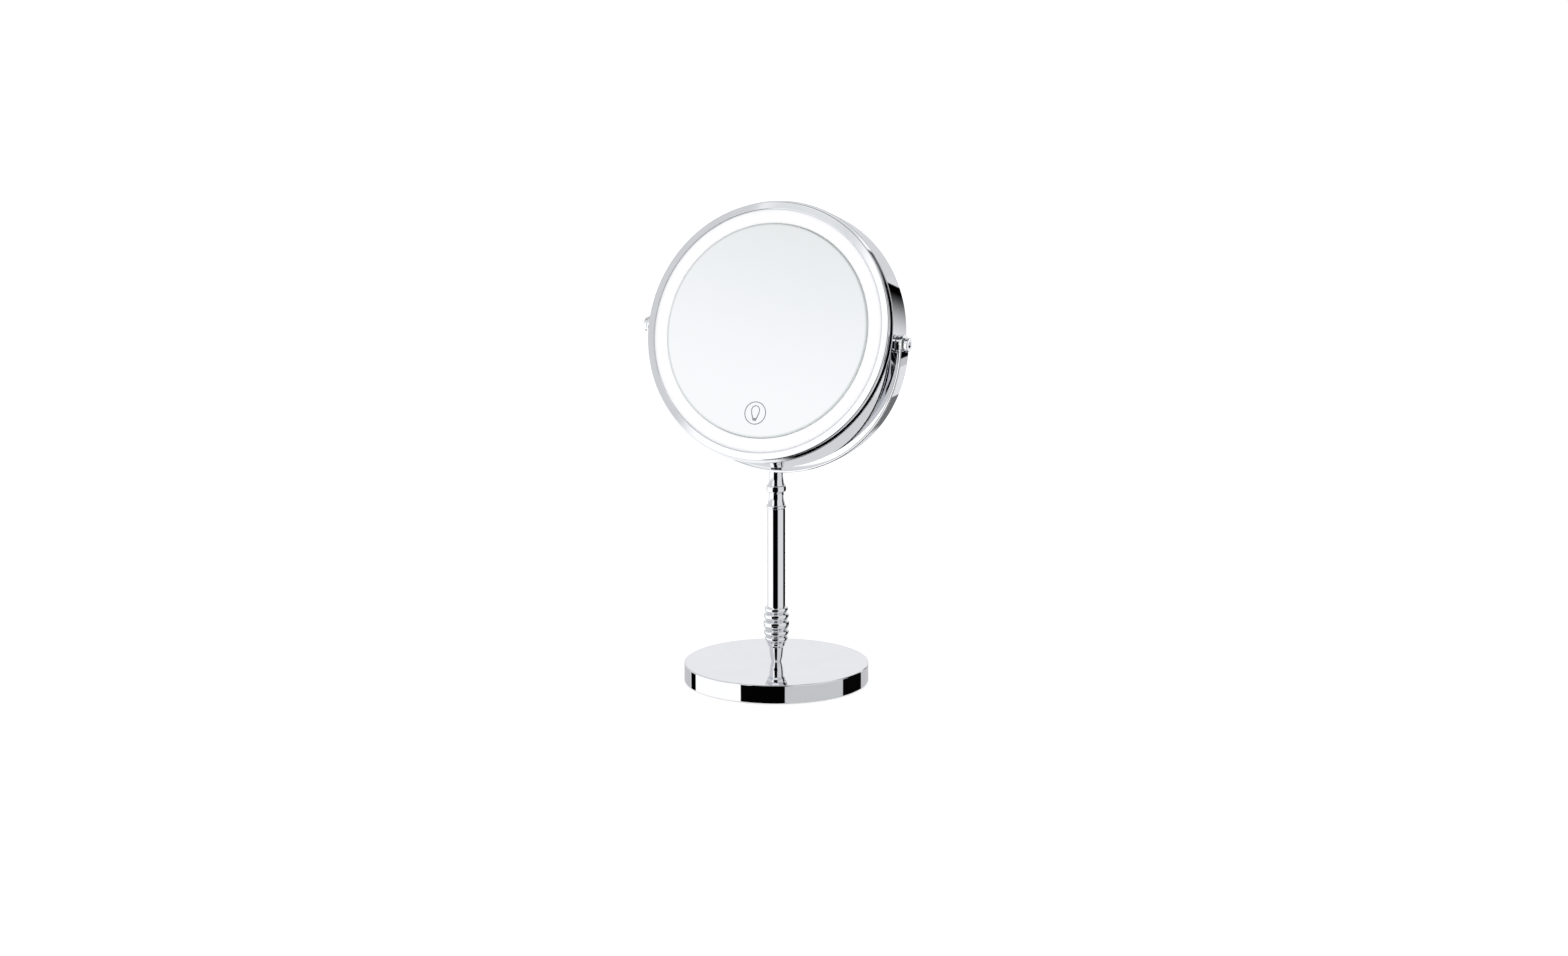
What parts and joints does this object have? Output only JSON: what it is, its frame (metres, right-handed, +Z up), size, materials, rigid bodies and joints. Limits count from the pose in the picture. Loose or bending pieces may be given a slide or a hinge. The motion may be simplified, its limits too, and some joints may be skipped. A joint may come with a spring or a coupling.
{
  "type": "lighted vanity mirror",
  "caption": "Round table mirror with a ring of light round its face, a magnifying back, and a drum head that turns over in a yoke on a chromed stem and weighted base.",
  "frame": {"origin": "centre of the base pad's underside, on the table", "axes": "+Z up along the stem; the user sits at -Y and the lighted face looks towards -Y, leaning back; +X runs along the line through the two pivots"},
  "size_m": [0.225, 0.146, 0.3811],
  "materials": {
    "base_cover": "polished chrome plate",
    "base_weight": "as cast, painted dark",
    "base_plate": "moulded, fine texture",
    "base_pad": "soft foam rubber",
    "base_screws": "zinc plated",
    "tie_rod": "zinc plated",
    "tie_rod_washer": "zinc plated",
    "tie_rod_nut": "zinc plated",
    "stem_foot": "polished chrome plate",
    "stem_beehive": "polished chrome plate",
    "stem_tube": "polished chrome plate",
    "stem_neck": "polished chrome plate",
    "stem_bell": "polished chrome plate",
    "yoke": "polished chrome plate",
    "yoke_screw": "dark nickel plated",
    "drum_band": "polished chrome plate",
    "front_bezel": "polished chrome plate",
    "rear_bezel": "polished chrome plate",
    "inner_frame": "moulded, glass filled",
    "pivot_inserts": "machined",
    "pivot_bushes": "polished chrome plate",
    "pivot_washers": "natural nylon",
    "pivot_bolts": "polished chrome plate",
    "front_carrier": "moulded white",
    "light_ring": "opal, satin",
    "front_glass": "silvered flat glass",
    "front_glass_tape": "foam tape",
    "front_screws": "zinc plated",
    "led_board": "white solder mask",
    "led_chips": "phosphor in clear resin",
    "touch_pad": "printed circuit board",
    "touch_icon": "screen-printed ink",
    "touch_lead": "insulated wire",
    "rear_glass": "silvered curved glass",
    "rear_glass_tape": "foam tape",
    "rear_carrier": "moulded white",
    "rear_screws": "zinc plated",
    "control_board": "printed circuit board",
    "board_parts": "moulded packages",
    "board_screws": "zinc plated",
    "charge_socket": "pressed, tin plated",
    "battery_cell": "shrink sleeve",
    "battery_tray": "moulded",
    "battery_leads": "insulated wire",
    "led_leads": "insulated wire"
  },
  "bodies": {
    "stand": {"base_cover": "base_cover", "base_weight": "base_weight", "base_plate": "base_plate", "base_pad": "base_pad", "base_screws": "base_screws", "tie_rod": "tie_rod", "tie_rod_washer": "tie_rod_washer", "tie_rod_nut": "tie_rod_nut", "stem_foot": "stem_foot", "stem_beehive": "stem_beehive", "stem_tube": "stem_tube", "stem_neck": "stem_neck", "stem_bell": "stem_bell", "yoke": "yoke", "yoke_screw": "yoke_screw"},
    "head": {"drum_band": "drum_band", "front_bezel": "front_bezel", "rear_bezel": "rear_bezel", "inner_frame": "inner_frame", "pivot_inserts": "pivot_inserts", "pivot_bushes": "pivot_bushes", "pivot_washers": "pivot_washers", "pivot_bolts": "pivot_bolts", "front_carrier": "front_carrier", "light_ring": "light_ring", "front_glass": "front_glass", "front_glass_tape": "front_glass_tape", "front_screws": "front_screws", "led_board": "led_board", "led_chips": "led_chips", "touch_pad": "touch_pad", "touch_icon": "touch_icon", "touch_lead": "touch_lead", "rear_glass": "rear_glass", "rear_glass_tape": "rear_glass_tape", "rear_carrier": "rear_carrier", "rear_screws": "rear_screws", "control_board": "control_board", "board_parts": "board_parts", "board_screws": "board_screws", "charge_socket": "charge_socket", "battery_cell": "battery_cell", "battery_tray": "battery_tray", "battery_leads": "battery_leads", "led_leads": "led_leads"}
  },
  "joints": [
    {"name": "head_tilt", "type": "hinge", "parent": "stand", "child": "head", "pos_m": [0, 0, 0.2789], "axis": [1, 0, 0], "continuous": true}
  ]
}
